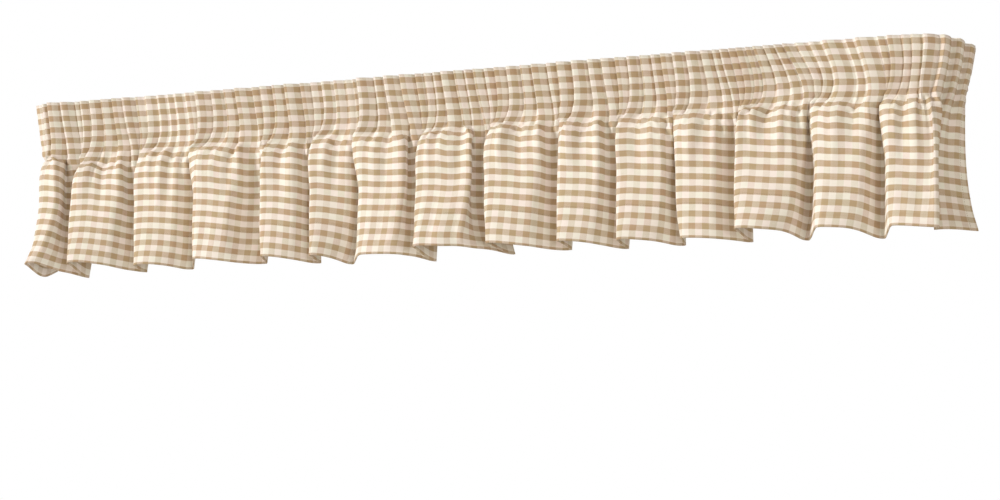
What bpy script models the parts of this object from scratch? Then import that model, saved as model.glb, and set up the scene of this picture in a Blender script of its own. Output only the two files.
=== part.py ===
"""A short gathered window valance in woven check cotton, with a pencil-pleated heading and a full skirt.

One cloth makes the whole piece. Its heading is drawn up into narrow pleats along a straight run and
turns back to the wall at both ends. Below the gather line the pleats open into fifteen uneven folds.
The cloth is built level by level: at each depth it is one line in plan, of the same length at every
depth. The folds take up what they can of that length, and the pleats take up the rest.

Metres, +Z up. The front faces -Y. The origin is the middle of the heading's top edge.
"""

from dataclasses import dataclass

import bmesh
import bpy
import numpy as np

MM = 0.001

# Driving dimensions
DROP = 0.255  # top edge to hem, measured on the cloth
HEADING = 0.080  # top edge to the gather line
CORNERS = (-0.696, 0.704)  # where the heading's two corners stand along its top edge
RETURN_DEPTH = 0.058  # how far each end of the heading turns back to the wall
CLOTH_THICKNESS = 0.0014

# Shape of the heading and its pleats
RETURN_ANGLE = 62.0  # turn of the heading at its corners, degrees
CORNER_SOFTNESS = 0.012
END_DROOPS = (0.004, 0.016)  # how far the top edge sinks along the left return and the right one
DROOP_START = 0.080  # how far before the right return it starts to
PLEAT_FLANK_SHARE = 0.36  # share of a pleat's cloth that comes forward
PLEAT_FLANK_ANGLE = -84.0  # its direction
PLEAT_FACE_ANGLES = (10.0, 56.0)  # directions of the rest, which falls back to the right
PLEAT_TURN = 0.07  # share of a pleat's cloth in each turn

# Shape of the skirt
BOX_FACE_ANGLE = 6.0  # directions of a fold's front and floor half way down
BOX_FLOOR_ANGLE = 14.0
LEAST_FLOOR = 0.15  # least share of the cloth past the front that lies in the floor
BOX_DEPTH = 0.80  # share of a fold's flank that has come forward there
FOLD_SOFTNESS = 0.0032  # how gently the cloth turns at the edges of a fold
MOST_LEAN = 0.90  # the most that cloth leans from the vertical, as a share of its length
LIFT_SOFTNESS = 0.014  # how far along the cloth the lift of a fold spreads
SAG_WIDTH = 0.030  # how far along the cloth the sag of a valley spreads
SAG_SHIFT = 0.006  # how far past the valley it is greatest
SAG_START = 0.150  # depth below which the valleys sag
BOX_DROP = 0.155  # depth half way down the skirt, where its folds are boxy
PLEAT_LEANS = (0.38, 0.58)  # how far left of a fold's two edges its pleats crowd, as shares of its depth
PINCH_SOFTNESS = 0.006  # how gently pleats crowd together at a fold's edges

# Grid of the solid
PLEAT_SHARES = (0.0, 0.30, 0.42, 0.72)  # columns in each pleat, as shares of its cloth
ROW_DROPS = (0.0, 0.080, 0.098, 0.122, 0.155, 0.198, 0.255)  # rows, as depths below the top edge
DRAW_SOFTNESS = 0.004  # how far along the cloth the drawing up of pleats is averaged
TOP_SOFTNESS = 0.020  # how gently the tops of neighbouring folds join
FULLEST_DRAW = 1.6  # the most that the directions of pleats and folds are exaggerated
DRAW_TRIES = 64
CLOSING_TRIES = 24
FINE_STEP = 0.0008  # step along the cloth while its line is worked out
SURFACE_ROWS = 101  # rows worked out to find how high each part of the cloth hangs


@dataclass(frozen=True)
class Fold:
    """One fold of the skirt. Lengths in millimetres, angles in degrees.

    mid and hem are where its left edge stands, half way down and at the hem.
    flank is the cloth in its left flank, and mid_turn and hem_turn are the angles by which that
    comes forward, half way down and at the hem.
    arch is how much its front curves at the hem, and face is the width of its front half way down.
    top is the depth below the top edge at which it comes out of the pleats.
    sag is how much lower the valley before it hangs at the hem.
    slant is how far the tops of its pleats stand to the left of their feet.
    """

    mid: float
    hem: float
    flank: float
    mid_turn: float
    hem_turn: float
    arch: float
    face: float
    top: float
    sag: float
    slant: float


FOLDS = (
    Fold(mid=-682, hem=-700, flank=53, mid_turn=88, hem_turn=92, arch=14, face=34, top=80, sag=8, slant=6),
    Fold(mid=-627, hem=-623, flank=55, mid_turn=105, hem_turn=90, arch=22, face=75, top=94, sag=9, slant=8),
    Fold(mid=-522, hem=-516, flank=38, mid_turn=103, hem_turn=84, arch=36, face=68, top=79, sag=4, slant=8),
    Fold(mid=-415, hem=-411, flank=50, mid_turn=62, hem_turn=54, arch=32, face=59, top=80, sag=5, slant=10),
    Fold(mid=-302, hem=-296, flank=46, mid_turn=80, hem_turn=66, arch=26, face=56, top=84, sag=1, slant=10),
    Fold(mid=-222, hem=-217, flank=42, mid_turn=82, hem_turn=80, arch=30, face=53, top=77, sag=3, slant=8),
    Fold(mid=-142, hem=-143, flank=43, mid_turn=62, hem_turn=46, arch=30, face=69, top=79, sag=9, slant=8),
    Fold(mid=-47, hem=-45, flank=52, mid_turn=105, hem_turn=98, arch=24, face=83, top=78, sag=10, slant=10),
    Fold(mid=59, hem=66, flank=51, mid_turn=105, hem_turn=112, arch=26, face=74, top=76, sag=7, slant=10),
    Fold(mid=170, hem=173, flank=47, mid_turn=95, hem_turn=88, arch=26, face=59, top=79, sag=3, slant=8),
    Fold(mid=256, hem=260, flank=44, mid_turn=97, hem_turn=84, arch=24, face=65, top=79, sag=5, slant=8),
    Fold(mid=341, hem=351, flank=40, mid_turn=84, hem_turn=72, arch=28, face=53, top=78, sag=4, slant=8),
    Fold(mid=429, hem=432, flank=50, mid_turn=97, hem_turn=94, arch=44, face=80, top=80, sag=4, slant=16),
    Fold(mid=541, hem=543, flank=52, mid_turn=62, hem_turn=52, arch=28, face=62, top=82, sag=10, slant=36),
    Fold(mid=638, hem=644, flank=50, mid_turn=62, hem_turn=56, arch=10, face=60, top=80, sag=8, slant=20),
)
RIGHT_EDGE = Fold(
    mid=702, hem=705, flank=36, mid_turn=90, hem_turn=90, arch=0, face=0, top=80, sag=5, slant=0
)


@dataclass(frozen=True)
class Stretch:
    """A straight stretch of cloth at an end of the skirt.

    length is in millimetres. mid and hem are its directions half way down and at the hem, in degrees.
    """

    length: float
    mid: float
    hem: float


LEFT_END = (Stretch(length=96, mid=-126, hem=-126),)
RIGHT_END = (Stretch(length=38, mid=126, hem=121), Stretch(length=58, mid=62, hem=41))

# Widths of the pleats in the heading, a row for each part of the skirt below them
PLEATS = (
    (18, 15, 19),  # over the left end
    (12, 9, 23, 18),
    (12, 20, 23, 22, 21, 22),
    (18, 24, 20, 13, 21, 21),
    (24, 19, 17, 25, 14),
    (19, 19, 23, 14),
    (18, 21, 20, 12, 12),
    (25, 16, 24, 23),
    (15, 15, 15, 21, 17, 15, 16),
    (15, 18, 20, 17, 22, 17),
    (22, 23, 19, 19),
    (19, 20, 17, 15, 19),
    (20, 21, 16, 11, 13),
    (14, 17, 14, 19, 19, 17, 20),
    (15, 14, 27, 10, 26),
    (13, 21, 13, 16, 23),
    (18, 21, 16),  # over the right end
)


@dataclass(frozen=True)
class Level:
    """How the cloth stands at one depth below its top edge. Lengths in millimetres.

    back is how far the line stands behind the top edge, and valley how far the valleys fall
    behind that.
    skirt is how far the folds are out, and hem how far they have their shape at the hem, from 0 to 1.
    pinch is how far the pleats draw together over the flank and the step of each fold, from 0 to 1.
    left and right are how far the ends of the heading are drawn in.
    """

    drop: float
    back: float
    valley: float
    skirt: float
    hem: float
    pinch: float
    left: float
    right: float


LEVELS = (
    Level(drop=0, back=0, valley=0, skirt=0.00, hem=0.0, pinch=0.00, left=0, right=0),
    Level(drop=40, back=6, valley=0, skirt=0.00, hem=0.0, pinch=0.08, left=3, right=8),
    Level(drop=62, back=10, valley=0, skirt=0.00, hem=0.0, pinch=0.30, left=5, right=14),
    Level(drop=80, back=12, valley=2, skirt=0.06, hem=0.0, pinch=0.60, left=6, right=18),
    Level(drop=98, back=12, valley=4, skirt=0.46, hem=0.0, pinch=0.82, left=6, right=18),
    Level(drop=122, back=11, valley=6, skirt=0.79, hem=0.0, pinch=0.85, left=5, right=17),
    Level(drop=155, back=11, valley=8, skirt=0.96, hem=0.0, pinch=0.85, left=5, right=16),
    Level(drop=198, back=10, valley=9, skirt=1.00, hem=0.2, pinch=0.85, left=5, right=16),
    Level(drop=228, back=10, valley=10, skirt=1.00, hem=0.5, pinch=0.85, left=5, right=16),
    Level(drop=255, back=9, valley=10, skirt=1.00, hem=1.0, pinch=0.85, left=5, right=16),
)


def level_value(name, drop):
    """A column of LEVELS at any depth, eased from row to row."""
    drops = np.array([level.drop for level in LEVELS]) * MM
    values = np.array([getattr(level, name) for level in LEVELS], float)
    slopes = np.gradient(values, drops)
    row = int(np.clip(np.searchsorted(drops, drop, side="right") - 1, 0, len(drops) - 2))
    span = drops[row + 1] - drops[row]
    t = (drop - drops[row]) / span
    eased = values[row] + t * t * (3 - 2 * t) * (values[row + 1] - values[row])
    return eased + (t * (1 - t) ** 2 * slopes[row] - t * t * (1 - t) * slopes[row + 1]) * span


def turn(angle):
    """The direction with this angle in degrees, as a complex number."""
    return np.exp(1j * np.radians(angle))


def flank_length(fold, share=1.0):
    """Cloth in a share of a fold's left flank."""
    return share * fold.flank * MM


def flank_run(fold, hem, share):
    """A fold's left flank in plan, from the valley to the fold's left edge."""
    return flank_length(fold, share) * turn(-fold.mid_turn - hem * (fold.hem_turn - fold.mid_turn))


def edge_point(fold, hem, share, valley):
    """Plan point of a fold's left edge. share is how much of its flank has come forward there."""
    along = (fold.mid + hem * (fold.hem - fold.mid)) * MM
    return along + 1j * (valley + flank_run(fold, hem, share).imag)


def valley_point(fold, hem, share, valley):
    """Plan point of the valley that a fold's left flank starts from."""
    return edge_point(fold, hem, share, valley) - flank_run(fold, hem, share)


def face_chord(index):
    """The straight line across a fold's front at the hem, from its left edge to where it ends."""
    start = edge_point(FOLDS[index], 1, 1, 0)
    if index + 1 < len(FOLDS):
        return valley_point(FOLDS[index + 1], 1, 1, 0) - start
    return edge_point(RIGHT_EDGE, 1, 1, 0) - start


def face_length(index):
    """Cloth in a fold's front at the hem, longer than its chord by its arch."""
    half = np.radians(FOLDS[index].arch)
    return abs(face_chord(index)) * half / np.sin(half)


def flat_edges():
    """Where each stretch of cloth starts and ends when flat: left end, folds, right end."""
    left = sum(stretch.length for stretch in LEFT_END) * MM
    right = sum(stretch.length for stretch in RIGHT_END) * MM
    widths = [flank_length(fold) + face_length(index) for index, fold in enumerate(FOLDS)]
    return np.concatenate([[0.0], np.cumsum([left, *widths, right])])


def pleat_lines():
    """Where each pleat starts on the flat cloth, with the far edge of the last one."""
    edges = flat_edges()
    lines = [0.0]
    for start, end, pleats in zip(edges[:-1], edges[1:], PLEATS):
        lines += list(start + np.cumsum(pleats) / sum(pleats) * (end - start))
    return np.array(lines)


def columns():
    """Distances along the flat cloth for the solid's columns."""
    lines = pleat_lines()
    across = lines[:-1, None] + np.diff(lines)[:, None] * np.array(PLEAT_SHARES)
    return np.append(across.ravel(), lines[-1])


def blended(wanted, places, points):
    """Plan points, as complex numbers, at the wanted places between points given at other places."""
    return np.interp(wanted, places, points.real) + 1j * np.interp(wanted, places, points.imag)


def soften(values, softness):
    """Values along the cloth, averaged over a softness, so that it turns in curves."""
    reach = int(np.ceil(3 * softness / FINE_STEP))
    weights = np.exp(-0.5 * (np.arange(-reach, reach + 1) * FINE_STEP / softness) ** 2)
    return np.convolve(np.pad(values, reach, mode="edge"), weights / weights.sum(), mode="valid")


def pleat_angles(along):
    """Direction of the cloth in fully drawn pleats, in degrees, at distances along the cloth."""
    lines = pleat_lines()
    index = np.clip(np.searchsorted(lines, along, side="right") - 1, 0, len(lines) - 2)
    return pleat_profile((along - lines[index]) / (lines[index + 1] - lines[index]))


def pleat_profile(share):
    """Direction of the cloth at a share of a pleat: its flank comes forward, its face falls back."""
    rise = np.clip((share - PLEAT_FLANK_SHARE) / PLEAT_TURN + 0.5, 0, 1)
    fall = np.clip((share - 1) / PLEAT_TURN + 1, 0, 1)
    across = np.clip((share - PLEAT_FLANK_SHARE) / (1 - PLEAT_FLANK_SHARE), 0, 1)
    face = PLEAT_FACE_ANGLES[0] + across * (PLEAT_FACE_ANGLES[1] - PLEAT_FACE_ANGLES[0])
    turned = rise * rise * (3 - 2 * rise) - fall * fall * (3 - 2 * fall)
    return PLEAT_FLANK_ANGLE + (face - PLEAT_FLANK_ANGLE) * turned


def pleat_strength(drawn):
    """How strongly pleats must turn to draw cloth up to a share of its length. 1 is fully drawn."""
    shares = (np.arange(DRAW_TRIES) + 0.5) / DRAW_TRIES
    strengths = np.linspace(0, FULLEST_DRAW, DRAW_TRIES)
    lengths = [np.cos(np.radians(pleat_profile(shares) * strength)).mean() for strength in strengths]
    return np.interp(-np.minimum(drawn, 1), -np.array(lengths), strengths)


def box_step(index):
    """The step at the right of a fold's front half way down, in plan.

    Its length and direction leave just enough cloth for a floor that ends at the next valley. Returns
    the cloth in the step and its direction in degrees.
    """
    fold = FOLDS[index]
    start = edge_point(fold, 0, BOX_DEPTH, 0) + fold.face * MM * turn(BOX_FACE_ANGLE)
    if index + 1 < len(FOLDS):
        gap = valley_point(FOLDS[index + 1], 0, BOX_DEPTH, 0) - start
    else:
        gap = edge_point(RIGHT_EDGE, 0, BOX_DEPTH, 0) - start
    cloth = flank_length(fold, 1 - BOX_DEPTH) + face_length(index) - fold.face * MM
    floor_direction = turn(BOX_FLOOR_ANGLE)
    reach = (gap * floor_direction.conjugate()).real
    floor = (cloth**2 - abs(gap) ** 2) / (2 * (cloth - reach)) if cloth > reach else 0
    floor = np.clip(floor, LEAST_FLOOR * cloth, (1 - LEAST_FLOOR) * cloth)
    return cloth - floor, np.degrees(np.angle(gap - floor * floor_direction))


def fold_angles(here, index, hem):
    """Direction of the cloth in a fold, in degrees, at distances from the valley before it.

    Half way down the fold is boxy: a left flank, a front, a step, and a floor that falls back to the
    next valley. At the hem its front swings back in one curve. hem blends the two, from 0 to 1.
    """
    fold = FOLDS[index]
    flank, front = flank_length(fold), face_length(index)
    chord_angle = np.degrees(np.angle(face_chord(index)))
    share = np.clip((here - flank) / front, 0, 1)
    swung = np.where(here < flank, -fold.hem_turn, chord_angle + fold.arch * (2 * share - 1))
    face_start = flank * BOX_DEPTH
    face_end = face_start + fold.face * MM
    step, step_angle = box_step(index)
    boxy = np.select(
        [here < face_start, here < face_end, here < face_end + step],
        [-fold.mid_turn, BOX_FACE_ANGLE, step_angle],
        BOX_FLOOR_ANGLE,
    )
    return (1 - hem) * boxy + hem * swung


def closed_run(angles, chord):
    """Steps in plan along given directions, opened or closed until they span the chord."""
    low, high = 0.0, FULLEST_DRAW
    for _ in range(CLOSING_TRIES):
        gain = (low + high) / 2
        reach = abs(np.sum(turn(angles * gain))) * FINE_STEP
        low, high = (gain, high) if reach > abs(chord) else (low, gain)
    steps = turn(angles * gain)
    return steps * (chord / np.sum(steps)) / FINE_STEP


def skirt_line(fine, drop):
    """The skirt's line in plan with its folds fully out, at the fine steps along the cloth."""
    hem = level_value("hem", drop)
    valley = level_value("valley", drop) * MM
    share = BOX_DEPTH + hem * (1 - BOX_DEPTH)
    edges = flat_edges()
    angles = np.zeros_like(fine)
    for index in range(len(FOLDS)):
        inside = (fine >= edges[index + 1]) & (fine < edges[index + 2])
        angles[inside] = fold_angles(fine[inside] - edges[index + 1], index, hem)
    for stretches, start in ((LEFT_END, 0.0), (RIGHT_END, edges[-2])):
        for stretch in stretches:
            inside = (fine >= start) & (fine < start + stretch.length * MM)
            angles[inside] = stretch.mid + hem * (stretch.hem - stretch.mid)
            start += stretch.length * MM
    angles = soften(angles, FOLD_SOFTNESS)
    steps = turn(angles)
    outer = [edge_point(fold, hem, share, valley) for fold in FOLDS]
    valleys = [valley_point(fold, hem, share, valley) for fold in FOLDS]
    valleys.append(edge_point(RIGHT_EDGE, hem, share, valley))
    for index in range(len(FOLDS)):
        inside = (fine >= edges[index + 1]) & (fine < edges[index + 2])
        steps[inside] = closed_run(angles[inside], valleys[index + 1] - valleys[index])
    line = np.cumsum(steps) * FINE_STEP
    places = [start + flank_length(fold, share) for start, fold in zip(edges[1:-2], FOLDS)]
    places = np.sort(np.concatenate([places, edges[1:-1]]))
    targets = np.append(np.stack([valleys[:-1], outer], axis=1).ravel(), valleys[-1])
    drift = blended(places, fine, line) - targets
    return line - blended(fine, places, drift)


def in_order(values):
    """Values in rising order, half way between the highest so far and the lowest still to come."""
    return (np.maximum.accumulate(values) + np.minimum.accumulate(values[::-1])[::-1]) / 2


def heading_line(fine, drop):
    """The heading's line in plan with the pleats left out: a straight run with two returns."""
    edges = flat_edges()
    pinch = level_value("pinch", drop)
    left = CORNERS[0] + level_value("left", drop) * MM
    right = CORNERS[1] - level_value("right", drop) * MM
    rise = max(1 - drop / HEADING, 0)
    folds = [np.clip((fold.mid - fold.slant * rise) * MM, left, right) for fold in (*FOLDS, RIGHT_EDGE)]
    places = np.array([left - RETURN_DEPTH, *folds, right + RETURN_DEPTH])
    even = np.interp(fine, edges, places)
    inside = (fine > edges[1]) & (fine < edges[-2])
    skirt = skirt_line(fine, BOX_DROP)
    across = np.interp(fine, edges[1:-1], np.arange(len(FOLDS) + 1)) % 1
    lean = PLEAT_LEANS[0] + across * (PLEAT_LEANS[1] - PLEAT_LEANS[0])
    feet = in_order((skirt.real + lean * skirt.imag)[inside])
    below = np.interp(fine, fine[inside], np.clip(soften(feet, PINCH_SOFTNESS), left, right))
    along = np.where(inside, even + pinch * (below - even), even)
    angle = np.select([along < left, along > right], [-RETURN_ANGLE, RETURN_ANGLE], 0.0)
    steps = turn(soften(angle, CORNER_SOFTNESS)) * np.gradient(along)
    line = np.cumsum(steps)
    middle = int(np.argmin(abs(along)))
    return line - line[middle]


def line_at(drop, along):
    """The cloth's line in plan at one depth, as complex numbers at the given distances along it."""
    edges = flat_edges()
    fine = np.arange(0, edges[-1] + FINE_STEP, FINE_STEP)
    centres = (edges[1:-2] + edges[2:-1]) / 2
    late = [level_value("skirt", max(drop - (fold.top * MM - HEADING), 0)) for fold in FOLDS]
    weight = soften(np.interp(fine, centres, late), TOP_SOFTNESS)
    base = (1 - weight) * heading_line(fine, drop) + weight * skirt_line(fine, drop)
    base += 1j * level_value("back", drop) * MM
    step = np.gradient(base, FINE_STEP)
    drawn = soften(abs(step), DRAW_SOFTNESS)
    strength = soften(pleat_strength(drawn), DRAW_SOFTNESS)
    pleated = turn(np.degrees(np.angle(step)) + strength * pleat_angles(fine))
    shift = np.cumsum(pleated - step) * FINE_STEP
    lines = pleat_lines()
    drift = blended(fine, lines, blended(lines, fine, shift))
    return blended(along, fine, base + shift - drift)


def spread_lift(heights, along, drop):
    """Heights of a row, with the lift of its folds spread along the cloth, and what droops and sags."""
    fine = np.arange(0, along[-1] + FINE_STEP, FINE_STEP)
    smooth = np.interp(along, fine, soften(np.interp(fine, along, heights), LIFT_SOFTNESS))
    edges = flat_edges()
    left = np.clip(1 - along / edges[1], 0, 1)
    right = np.clip((along - edges[-2] + DROOP_START) / (edges[-1] - edges[-2] + DROOP_START), 0, 1)
    droop = END_DROOPS[0] * left**2 + END_DROOPS[1] * right**2
    sunk = max(drop - SAG_START, 0) / (DROP - SAG_START)
    spread = np.exp(-(((along[:, None] - edges[1:] - SAG_SHIFT) / SAG_WIDTH) ** 2))
    sag = spread @ np.array([fold.sag for fold in (*FOLDS, RIGHT_EDGE, RIGHT_EDGE)]) * MM
    return smooth - droop * max(1 - drop / HEADING, 0) - sag * sunk


def hanging_surface(along, drops):
    """Points of the cloth's middle surface, a row for each depth.

    Each column keeps its length as it hangs, so cloth that swings forward also lifts.
    """
    lines = np.array([line_at(drop, along) for drop in drops])
    fall = np.diff(drops)[:, None]
    swing = np.minimum(np.abs(np.diff(lines, axis=0)), MOST_LEAN * fall)
    heights = -np.cumsum(np.sqrt(fall**2 - swing**2), axis=0)
    heights = np.concatenate([np.zeros((1, len(along))), heights])
    heights = np.array([spread_lift(row, along, drop) for row, drop in zip(heights, drops)])
    return np.stack([lines.real, lines.imag, heights], axis=2)


def solid_points():
    """Points of the solid's middle surface, a row for each of its depths."""
    along = columns()
    drops = np.union1d(np.linspace(0, DROP, SURFACE_ROWS), ROW_DROPS)
    surface = hanging_surface(along, drops)
    return surface[np.searchsorted(drops, ROW_DROPS)]


def cloth_material():
    """Woven cotton in a warm beige, the mean of its two check colours."""
    material = bpy.data.materials.new("check_cotton")
    material.use_nodes = True
    shader = material.node_tree.nodes["Principled BSDF"]
    shader.inputs["Base Color"].default_value = (0.72, 0.60, 0.44, 1.0)
    shader.inputs["Roughness"].default_value = 0.92
    shader.inputs["Metallic"].default_value = 0.0
    return material


def make_cloth():
    """The valance's one cloth: a sheet of faces between the points, given the cloth's thickness."""
    points = solid_points()
    rows, count = points.shape[:2]
    mesh = bpy.data.meshes.new("valance_cloth")
    builder = bmesh.new()
    grid = [[builder.verts.new(point) for point in row] for row in points]
    for row in range(rows - 1):
        for column in range(count - 1):
            upper, lower = grid[row], grid[row + 1]
            builder.faces.new((upper[column], lower[column], lower[column + 1], upper[column + 1]))
    bmesh.ops.recalc_face_normals(builder, faces=builder.faces)
    builder.to_mesh(mesh)
    builder.free()
    mesh.materials.append(cloth_material())
    cloth = bpy.data.objects.new("valance_cloth", mesh)
    bpy.context.scene.collection.objects.link(cloth)
    solidify = cloth.modifiers.new("thickness", "SOLIDIFY")
    solidify.thickness = CLOTH_THICKNESS
    solidify.offset = 0.0
    return cloth


def main():
    """Empty the scene and build the valance."""
    for item in list(bpy.data.objects):
        bpy.data.objects.remove(item, do_unlink=True)
    make_cloth()


if __name__ == "__main__":
    main()
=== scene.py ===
"""Looks for a short gathered window valance in woven check cotton.

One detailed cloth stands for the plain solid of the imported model. It is worked out as the solid is:
at each depth the cloth is one line in plan, of nearly the same length at every depth. The skirt's
folds take up what they can of that length, and the pencil pleats of the heading take up the rest.
Near the gather line the cloth stretches and crosses itself in places. Its creases, hems and
stitches are added to that, and its check is woven in the material.

Metres, +Z up. The front faces -Y. The origin is the middle of the heading's top edge.
"""

from __future__ import annotations

import logging
from collections.abc import Sequence
from dataclasses import dataclass, field
from enum import Enum

import bpy
import numpy as np
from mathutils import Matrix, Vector


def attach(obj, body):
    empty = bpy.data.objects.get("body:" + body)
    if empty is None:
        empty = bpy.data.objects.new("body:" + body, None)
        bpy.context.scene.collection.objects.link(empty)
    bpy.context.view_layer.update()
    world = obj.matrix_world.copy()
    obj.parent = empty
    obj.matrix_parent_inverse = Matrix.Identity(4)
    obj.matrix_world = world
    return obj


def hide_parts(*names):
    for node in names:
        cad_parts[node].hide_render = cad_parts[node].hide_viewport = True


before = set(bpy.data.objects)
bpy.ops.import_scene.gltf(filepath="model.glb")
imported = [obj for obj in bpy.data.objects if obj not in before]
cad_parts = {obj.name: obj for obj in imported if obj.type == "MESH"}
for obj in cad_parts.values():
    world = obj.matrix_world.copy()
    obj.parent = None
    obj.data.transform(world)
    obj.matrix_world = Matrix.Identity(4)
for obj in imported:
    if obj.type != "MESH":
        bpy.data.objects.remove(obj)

log = logging.getLogger("valance")

MM = 0.001


# The shape of the skirt and heading


@dataclass(frozen=True)
class Fold:
    """One fold of the skirt. Lengths in millimetres, angles in degrees.

    mid and hem are where its left edge stands, half way down and at the hem.
    flank is the cloth in its left flank, and mid_turn and hem_turn are the angles by which that
    comes forward, half way down and at the hem.
    arch is how much its front curves at the hem, and face is the width of its front half way down.
    top is the depth below the top edge at which it comes out of the pleats.
    sag is how much lower the valley before it hangs at the hem.
    slant is how far the tops of its pleats stand to the left of their feet.
    """

    mid: float
    hem: float
    flank: float
    mid_turn: float
    hem_turn: float
    arch: float
    face: float
    top: float
    sag: float
    slant: float


FOLDS = (
    Fold(mid=-682, hem=-700, flank=53, mid_turn=88, hem_turn=92, arch=14, face=34, top=80, sag=8, slant=6),
    Fold(mid=-627, hem=-623, flank=55, mid_turn=105, hem_turn=90, arch=22, face=75, top=94, sag=9, slant=8),
    Fold(mid=-522, hem=-516, flank=38, mid_turn=103, hem_turn=84, arch=36, face=68, top=79, sag=4, slant=8),
    Fold(mid=-415, hem=-411, flank=50, mid_turn=62, hem_turn=54, arch=32, face=59, top=80, sag=5, slant=10),
    Fold(mid=-302, hem=-296, flank=46, mid_turn=80, hem_turn=66, arch=26, face=56, top=84, sag=1, slant=10),
    Fold(mid=-222, hem=-217, flank=42, mid_turn=82, hem_turn=80, arch=30, face=53, top=77, sag=3, slant=8),
    Fold(mid=-142, hem=-143, flank=43, mid_turn=62, hem_turn=46, arch=30, face=69, top=79, sag=9, slant=8),
    Fold(mid=-47, hem=-45, flank=52, mid_turn=105, hem_turn=98, arch=24, face=83, top=78, sag=10, slant=10),
    Fold(mid=59, hem=66, flank=51, mid_turn=105, hem_turn=112, arch=26, face=74, top=76, sag=7, slant=10),
    Fold(mid=170, hem=173, flank=47, mid_turn=95, hem_turn=88, arch=26, face=59, top=79, sag=3, slant=8),
    Fold(mid=256, hem=260, flank=44, mid_turn=97, hem_turn=84, arch=24, face=65, top=79, sag=5, slant=8),
    Fold(mid=341, hem=351, flank=40, mid_turn=84, hem_turn=72, arch=28, face=53, top=78, sag=4, slant=8),
    Fold(mid=429, hem=432, flank=50, mid_turn=97, hem_turn=94, arch=44, face=80, top=80, sag=4, slant=16),
    Fold(mid=541, hem=543, flank=52, mid_turn=62, hem_turn=52, arch=28, face=62, top=82, sag=10, slant=36),
    Fold(mid=638, hem=644, flank=50, mid_turn=62, hem_turn=56, arch=10, face=60, top=80, sag=8, slant=20),
)
RIGHT_EDGE = Fold(
    mid=702, hem=705, flank=36, mid_turn=90, hem_turn=90, arch=0, face=0, top=80, sag=5, slant=0
)


@dataclass(frozen=True)
class Stretch:
    """A straight stretch of cloth at an end of the skirt.

    length is in millimetres. mid and hem are its directions half way down and at the hem, in degrees.
    """

    length: float
    mid: float
    hem: float


LEFT_END = (Stretch(length=96, mid=-126, hem=-126),)
RIGHT_END = (Stretch(length=38, mid=126, hem=121), Stretch(length=58, mid=62, hem=41))

# Widths of the pleats in the heading, a row for each part of the skirt below them
PLEATS = (
    (18, 15, 19),  # over the left end
    (12, 9, 23, 18),
    (12, 20, 23, 22, 21, 22),
    (18, 24, 20, 13, 21, 21),
    (24, 19, 17, 25, 14),
    (19, 19, 23, 14),
    (18, 21, 20, 12, 12),
    (25, 16, 24, 23),
    (15, 15, 15, 21, 17, 15, 16),
    (15, 18, 20, 17, 22, 17),
    (22, 23, 19, 19),
    (19, 20, 17, 15, 19),
    (20, 21, 16, 11, 13),
    (14, 17, 14, 19, 19, 17, 20),
    (15, 14, 27, 10, 26),
    (13, 21, 13, 16, 23),
    (18, 21, 16),  # over the right end
)


@dataclass(frozen=True)
class Level:
    """How the cloth stands at one depth below its top edge. Lengths in millimetres.

    back is how far the line stands behind the top edge, and valley how far the valleys fall
    behind that.
    skirt is how far the folds are out, and hem how far they have their shape at the hem, from 0 to 1.
    pinch is how far the pleats draw together over the flank and the step of each fold, from 0 to 1.
    left and right are how far the ends of the heading are drawn in.
    waves is how far its rows rise and dip over each pleat and crease, from 0 to 1.
    """

    drop: float
    back: float
    valley: float
    skirt: float
    hem: float
    pinch: float
    left: float
    right: float
    waves: float


LEVELS = (
    Level(drop=0, back=0, valley=0, skirt=0.00, hem=0.0, pinch=0.00, left=0, right=0, waves=0.0),
    Level(drop=40, back=6, valley=0, skirt=0.00, hem=0.0, pinch=0.08, left=3, right=8, waves=0.1),
    Level(drop=62, back=10, valley=0, skirt=0.00, hem=0.0, pinch=0.30, left=5, right=14, waves=0.2),
    Level(drop=80, back=12, valley=2, skirt=0.06, hem=0.0, pinch=0.60, left=6, right=18, waves=0.4),
    Level(drop=98, back=12, valley=4, skirt=0.46, hem=0.0, pinch=0.82, left=6, right=18, waves=0.7),
    Level(drop=122, back=11, valley=6, skirt=0.79, hem=0.0, pinch=0.85, left=5, right=17, waves=0.6),
    Level(drop=155, back=11, valley=8, skirt=0.96, hem=0.0, pinch=0.85, left=5, right=16, waves=0.3),
    Level(drop=198, back=10, valley=9, skirt=1.00, hem=0.2, pinch=0.85, left=5, right=16, waves=0.1),
    Level(drop=228, back=10, valley=10, skirt=1.00, hem=0.5, pinch=0.85, left=5, right=16, waves=0.0),
    Level(drop=255, back=9, valley=10, skirt=1.00, hem=1.0, pinch=0.85, left=5, right=16, waves=0.0),
)


@dataclass(frozen=True)
class Crease:
    """A soft ridge, or a trough if its height is negative, that runs down from the gather line.

    fold is the fold it lies on. share is where it starts across the fold's front, from 0 to 1, and
    runs is where it ends. height, width and reach, which is how far down it fades out, are in
    millimetres.
    """

    fold: int
    share: float
    runs: float
    height: float
    width: float
    reach: float


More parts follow.
